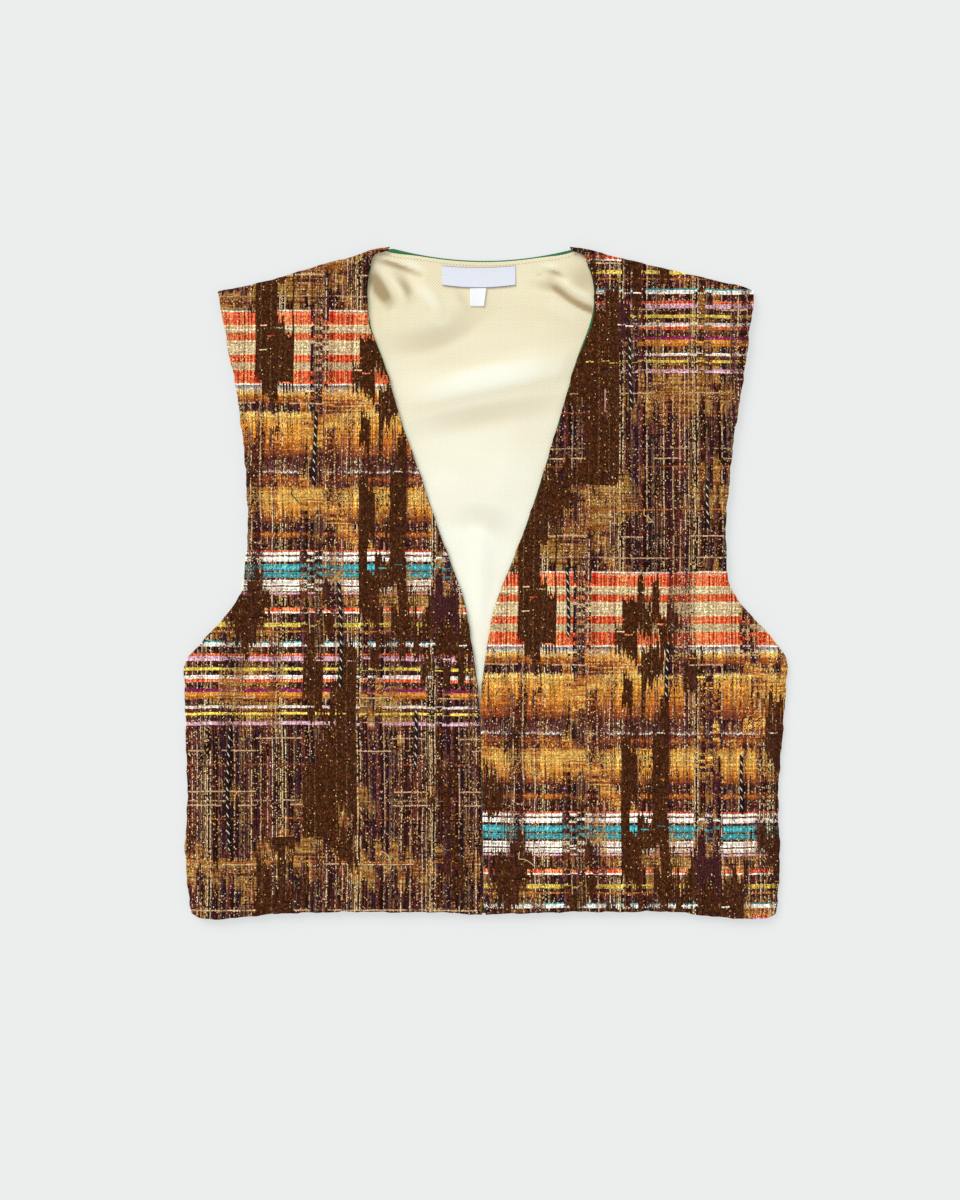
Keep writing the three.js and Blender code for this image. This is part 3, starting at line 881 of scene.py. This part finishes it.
def jacquard_group():
    """A node group for the fronts' cloth: coloured wefts in zones, warps whose colours repeat across, and panels,
    blocks and cells that say which of the two shows. Its inputs are places in millimetres. The last number of each
    cloud and toss is its seed."""
    group, (x, y), leave = new_group("jacquard", ["Across", "Along"], [("Colour", "Color"), ("Height", "Float")])

    # Wefts waver a little along their length, and warps across it
    down = (cloud(x / 90, y / 300, 1.0, 5.0) - 0.5) * 5.0 - y
    down = (cloud(x / 8, y / 30, 1.0, 6.0) - 0.5) * 1.2 + down
    u = (cloud(x / 200, y / 80, 1.0, 7.0) - 0.5) * 4.0 + x
    v = down % REPEAT
    warp, weft = u // YARN, down // PICK
    repeated = u % WARP_REPEAT // YARN
    cell = toss(u // CROSSING[0], down // CROSSING[1], 15.0)
    other_cell = toss(u // CROSSING[0], down // 1.6, 16.0)

    # Panels: the edge between two heights is staggered from panel to panel and ragged from yarn to yarn
    place = u % PANEL_REPEAT / PANEL_REPEAT
    stagger = toss(warp, 0.0, 18.0) * 12.0 + (toss(u // 8.0, 0.0, 17.0) * 80.0 + v)
    high, middle, low = [ramp(place, [(start / PANEL_REPEAT, (*shares, 1.0)) for start, *shares in rows])
                         for rows in PANELS.values()]
    panels = blend(stagger > PANEL_ENDS[1], blend(stagger > PANEL_ENDS[0], high, middle), low)
    brown, plum, checked = outputs_of(node("ShaderNodeSeparateColor", [panels]), 3)

    # Blocks of brown ground and of gold warps wherever a coarse cloud is dense: they are whole columns wide, each
    # column starts and ends at a height of its own, and its ends are ragged from yarn to yarn
    columns = u // COLUMN
    step_x = columns * COLUMN
    step_y = toss(warp, 0.0, 35.0) * 9.0 + (toss(columns, 0.0, 34.0) * 26.0 + down)
    ragged = toss(warp, down // 14.0, 14.0)
    brown = brown * (ragged * 0.05 + cloud(step_x / 26, step_y / 70, 1.0, 33.0) > 0.45)
    block = ragged * 0.05 + cloud(step_x / 64, step_y / 105, 2.0, 13.0)
    brown = calc("MAXIMUM", brown, block > BROWN_LEVEL)
    faded = spread(block, BROWN_LEVEL - 0.1, BROWN_LEVEL, 0.0, 0.3)
    golden = ragged * 0.1 + cloud(step_x / 80, step_y / 46, 2.0, 31.0)
    in_gold = (v > ZONES["gold"][0]) - (v > ZONES["teal"][0])
    golden = spread(golden, GOLD_LEVEL, GOLD_LEVEL + 0.06, 0.0, 0.88) * (in_gold * 0.4 + 0.4)

    # Warp yarns: one colour each, in groups of like colours, which comes up and goes under along its length
    kind = toss(repeated, 0.0, 3.0) * 0.72 + toss(repeated * YARN // 5.0, 0.0, 4.0) * 0.3
    rising = other_cell * 0.42 + cloud(warp * 3.7, down / 40, 1.0, 9.0)
    shown = (rising > WARP_LEVEL) * (1.0 - brown * 0.97)
    column = spread(cloud(warp * 5.3, down / 34, 1.0, 23.0), 0.3, 0.7)
    dotted = (toss(repeated, 0.0, 36.0) > 0.93) * (cell > 0.6)
    speckled = blend(dotted * 0.6, blend((other_cell > 0.72) * 0.2, BROWN, RUST), OLIVE)
    ground = blend(brown, ramp(toss(u // 7.0, down // 9.0, 26.0), GROUND_COLOURS), speckled)
    ground = blend(plum, ground, PLUM)
    ground = blend(column * 0.55 * (1.0 - brown * 0.7), ground, BLACK_BROWN)
    warp_face = blend(shown, ground, ramp(kind, WARP_COLOURS))
    picks = (toss(0.0, weft, 39.0) * 60.0 + u) // 34.0
    glow = cloud(u / 46, down / 9, 1.0, 32.0) * 0.68 + toss(repeated, 0.0, 37.0) * 0.16
    glow = toss(picks, weft, 38.0) * 0.36 + glow
    warp_face = blend(golden * (1.0 - brown), warp_face, ramp(glow, GOLD_COLOURS, held=False))

    # Weft yarns: the stripes of the zone, uneven from yarn to yarn and streaked by the warps that they cross
    weft_face = None
    ends = [*[zone[0] for zone in ZONES.values()][1:], REPEAT]
    for (name, (begin, shows, stripes)), end in zip(ZONES.items(), ends):
        in_zone = spread(ragged * 2.0 + v if name == "gold" else v, begin, end)
        stops = [(start / (end - begin), colour) for start, colour in stripes]
        colours = ramp(in_zone, stops, held=name != "gold")
        if weft_face is None:
            weft_face, cover = colours, shows
        else:
            weft_face = blend(v > begin, weft_face, colours)
            cover = (v > begin) * (shows - before) + cover
        before = shows
    cover = cover * spread(node("ShaderNodeRGBToBW", [weft_face]), 0.02, 0.09, 0.22, 1.0)
    streak = toss(repeated, 0.0, 11.0) * 0.6 + cloud(u / 2.6, down / 60, 1.0, 12.0) * 0.4
    red, green_part = outputs_of(node("ShaderNodeSeparateColor", [weft_face]), 2)
    reddish = red - green_part > RED_LEVEL
    weft_face = blend(reddish * 0.75, weft_face, ramp(streak, RED_COLOURS, held=False))
    weft_face = blend(0.9, weft_face, ramp(streak, STREAK_TINTS, held=False), "MULTIPLY")
    weft_face = blend(1.0, weft_face, ramp(toss(0.0, weft, 19.0), WEFT_TINTS, held=False), "MULTIPLY")

    # Which of the two shows: whole columns in the plain panels, single crossings in the mixed ones, and larger
    # blocks in the checked ones
    fine, coarse = spread(checked, 0.1, 0.6), checked > 0.75
    pick = column * 0.5 + cell * 0.4
    pick = fine * (cell - pick) + pick
    checks = down // CHECK
    hidden = calc("MAXIMUM", (columns + checks) % 2.0, toss(columns, checks, 24.0) > 0.8)
    cover = cover * (1.0 - faded) * (1.0 - fine * (1.0 - coarse) * 0.42)
    cover = cover * (1.0 - brown * 0.985) * (1.0 - plum * 0.4) * (1.0 - coarse * hidden * 0.95)
    cover = cover * (1.0 - golden * 0.25) * (1.0 - columns % 2.0 * 0.14)
    dashes = (toss(u // 7.0, weft, 25.0) > 0.985) * (cell > 0.2)
    stray = (toss(0.0, weft, 20.0) > 0.972) * (cloud(u / 60, weft, 1.0, 21.0) > 0.5)
    weft_shows = calc("MAXIMUM", pick < cover, dashes)
    weft_shows = calc("MAXIMUM", weft_shows, stray * (1.0 - brown) * (cell > 0.1))
    colour = blend(weft_shows, warp_face, blend(stray, weft_face, BEIGE))

    # Scattered flecks, rare on the brown ground, and a small unevenness from crossing to crossing
    fleck = toss(u // 0.8, down // 0.9, 22.0) > brown * 0.035 + 0.955
    colour = blend(fleck * 0.85, colour, ramp(other_cell, FLECK_COLOURS))
    fill(leave["Colour"], blend(1.0, colour, ramp(cell, GRAIN_TINTS, held=False), "MULTIPLY"))

    # Relief: the crossings and the raised yarns
    fill(leave["Height"], weft_shows * 0.3 + woven(u, down, 1.1)[0] * 0.45 + cell * 0.3)
    return group


jacquard = jacquard_group()


def jacquard_cloth(side):
    """One front's jacquard: the cloth's group placed at the height where this front is cut."""
    material, shader = cloth_material(f"jacquard_{side}", 0.85, gloss=0.02)
    across, along = cloth_place(material)
    place = [across + CUT_ACROSS[side], along - CUT_HEIGHT[side]]
    colour, height = outputs_of(node("ShaderNodeGroup", place, node_tree=jacquard), 2)
    fill(shader["Base Color"], colour)
    relief(shader, height, 0.45, 0.6)
    return material


for side in ("left", "right"):
    across, up = [rim_shares(*size) for size in FRONT_GRID]
    points = front_grid(side, across, up)
    low = front_low(points)
    front = sheet_mesh(f"front_{side}", points, low, low + SHELL, jacquard_cloth(side), "jacquard")


# Cords and loose threads
# Thick twisted cords of a dark and a pale yarn float on the fronts' cloth in straight runs, woven in with the warps,
# and a few thin loose ends lie on it.
CORD_RADIUS = 1.5
CORD_TWIST = 7.6
CORDS = {"left": [(-150, 152, 84), (-128, 2, -92), (-226, -128, -236), (-62, -112, -164)],
         "right": [(128, 218, 152), (196, 92, 46), (72, 14, -48), (160, -52, -104), (226, -150, -204)]}
THREAD_RADIUS = 0.42
THREADS = [(18, -128, 27, -150, 5, "dark"), (30, -236, 44, -250, -6, "pale"), (-92, -236, -84, -252, 4, "pale"),
           (140, 66, 149, 52, -4, "pale"), (66, -262, 61, -280, 3, "dark"), (-170, 84, -164, 70, -3, "dark")]
THREAD_COLOURS = {"dark": tone(34, 22, 18), "pale": tone(214, 184, 134)}
CORD_DARK = tone(22, 15, 14)
CORD_PALE = tone(224, 212, 194)
CORD_SIDES = 10
THREAD_SIDES = 6


def tube(line, radius, sides):
    """A round tube along a line of points that lies nearly level, drawn in and closed at both ends."""
    run = np.gradient(line, axis=0)
    run /= np.linalg.norm(run, axis=1)[:, None]
    aside = np.stack([-run[:, 1], run[:, 0], np.zeros(len(run))], -1)
    aside /= np.linalg.norm(aside, axis=1)[:, None]
    above = np.cross(run, aside)
    travelled = np.concatenate([[0], np.cumsum(np.linalg.norm(np.diff(line, axis=0), axis=1))])
    ends = np.minimum(travelled, travelled[-1] - travelled) / radius
    size = radius * np.sqrt(np.clip(1 - (1 - np.clip(ends, 0.02, 1)) ** 2, 0, 1))
    turns = np.arange(sides) * 2 * np.pi / sides
    points = line[:, None] + size[:, None, None] * (aside[:, None] * np.cos(turns)[None, :, None]
                                                     + above[:, None] * np.sin(turns)[None, :, None])
    return points.reshape(-1, 3), tube_quads(len(line), sides)


def joined(parts):
    """Several meshes, each as points and an array of faces, as one with a list of faces."""
    starts = np.cumsum([0, *[len(points) for points, quads in parts[:-1]]])
    return (np.concatenate([points for points, quads in parts]),
            np.concatenate([quads + start for (points, quads), start in zip(parts, starts)]).tolist())


def on_front(flat, lift):
    """Points of a front's upper face at places across and along, raised by a lift."""
    height = FRONT_Z + SHELL + swell(flat[:, 0], flat[:, 1]) + lift
    return np.concatenate([flat, height[:, None]], -1)


def cord_twist():
    """Two yarns twisted together: a slanting stripe, found from the place along the cord and across its face."""
    material, shader = cloth_material("twisted_cord", 0.8, gloss=0.2)
    along = cloth_place(material)[1]
    aside = kept_value(material, "aside")
    pale = (calc("FRACT", aside * 0.3 + along / CORD_TWIST) < 0.22) * (calc("ABSOLUTE", aside) < 0.62)
    fill(shader["Base Color"], blend(pale, CORD_DARK, CORD_PALE))
    return material


cord_material = cord_twist()
for side, cords in CORDS.items():
    parts = []
    middles = []
    for x, high, low in cords:
        y = np.linspace(low, high, int((high - low) / 2))
        flat = np.stack([x + 1.1 * np.sin(y / 23 + x), y], -1)
        parts.append(tube(on_front(flat, 0.3), CORD_RADIUS, CORD_SIDES))
        middles.append(np.repeat(flat[:, 0], CORD_SIDES))
    cord_points, cord_faces = joined(parts)
    cords_piece = finished(f"cords_{side}", cord_points, cord_faces, cord_material, "jacquard")
    keep_values(cords_piece, "aside", (cord_points[:, 0] - np.concatenate(middles)) / CORD_RADIUS)

for kind, colour in THREAD_COLOURS.items():
    parts = []
    for x, y, end_x, end_y, bow, thread_kind in THREADS:
        if thread_kind == kind:
            share = np.linspace(0, 1, 22)
            flat = np.stack([mixed(x, end_x, share) + bow * np.sin(np.pi * share),
                             mixed(y, end_y, share) + 0.4 * bow * np.sin(2 * np.pi * share)], -1)
            parts.append(tube(on_front(flat, 0.45 + 0.5 * np.sin(np.pi * share)), THREAD_RADIUS, THREAD_SIDES))
    thread_material = cloth_material(f"{kind}_thread", 0.8, colour)[0]
    finished(f"{kind}_threads", *joined(parts), thread_material, "jacquard")


# Neck label
# A small bare label of smooth woven satin lies on the lining just below the back neck. It is sewn down at both ends
# and bows down a little in the middle.
LABEL = 0.7
LABEL_GAP = 0.3
LABEL_CURL = 0.5
NECK_LABEL = {"left": -38.3, "right": 26.4, "top": 279.6, "bottom": 262.2, "bow": 1.6, "bow_low": 2.4}
LABEL_WHITE = (229, 234, 244)
LABEL_LINE = tone(150, 144, 166)
LABEL_RIM = (0, 0.06, 0.2, 0.5)
LABEL_GRID = [(64.7, 1.2, LABEL_RIM), (17.4, 0.5, LABEL_RIM)]
LABEL_BORDER = 0.55


def strip(low, high, across, up):
    """A grid between two long edges, with straight ends."""
    left, right = [mixed(low[end], high[end], up[:, None]) for end in (0, -1)]
    return filled(left, right, low, high, across, up)


def label_edges(x):
    """The heights of the label's two long edges, which bow down in the middle, at a place across."""
    share = np.clip((x - NECK_LABEL["left"]) / (NECK_LABEL["right"] - NECK_LABEL["left"]), 0, 1)
    sag = 4 * share * (1 - share)
    return NECK_LABEL["bottom"] - NECK_LABEL["bow_low"] * sag, NECK_LABEL["top"] - NECK_LABEL["bow"] * sag


def label_weave(name, colour, border=0.0):
    """Smooth white label satin, with a thin darker woven line along its long edges where it has a border."""
    material, shader = cloth_material(name, 0.5, sheen=0.1, gloss=0.4)
    across, along = cloth_place(material)
    soft = blend(cloud(across / 6, along / 3), tone(*colour), tone(*(np.array(colour) * 0.96)))
    if border:
        soft = blend(kept_value(material, "rim") < border, soft, LABEL_LINE)
    fill(shader["Base Color"], soft)
    return material


label_material = label_weave("label_weave", LABEL_WHITE, LABEL_BORDER)
label_across, label_up = [rim_shares(*size) for size in LABEL_GRID]
label_x = mixed(NECK_LABEL["left"], NECK_LABEL["right"], label_across)
label_low, label_high = [np.stack([label_x, y], -1) for y in label_edges(label_x)]
label_points = strip(label_low, label_high, label_across, label_up)
label_bottom = on_lining(label_points) + LABEL_GAP + LABEL_CURL * (1 - label_up[:, None]) ** 2
neck_label = sheet_mesh("neck_label", label_points, label_bottom, label_bottom + LABEL, label_material, "label")
label_x, label_y = flat_places(neck_label).T
label_edge, label_top = label_edges(label_x)
keep_values(neck_label, "rim", np.minimum(label_y - label_edge, label_top - label_y))


# Size tab
# A small bare tab of white satin, caught under the label's lower edge, hangs down from it and widens a little
# towards the label.
SIZE_TAB = {"left": -13.6, "right": 0.8, "right_low": -1.3, "top": 259.6, "bottom": 243.6}
TAB_CURL = 0.7
TAB_WHITE = (252, 253, 254)

tab_material = label_weave("tab_weave", TAB_WHITE)
tab_shares = rim_shares(14.4, 0.8, LABEL_RIM)
tab_low, tab_high = [np.stack([mixed(SIZE_TAB["left"], right, tab_shares), np.full(len(tab_shares), y)], -1)
                     for right, y in ((SIZE_TAB["right_low"], SIZE_TAB["bottom"]),
                                      (SIZE_TAB["right"], SIZE_TAB["top"]))]
tab_points = strip(tab_low, tab_high, tab_shares, tab_shares)
tab_bottom = on_lining(tab_points) + LABEL_GAP + TAB_CURL * tab_shares[None, :] ** 2
size_tab = sheet_mesh("size_tab", tab_points, tab_bottom, tab_bottom + LABEL, tab_material, "tab")
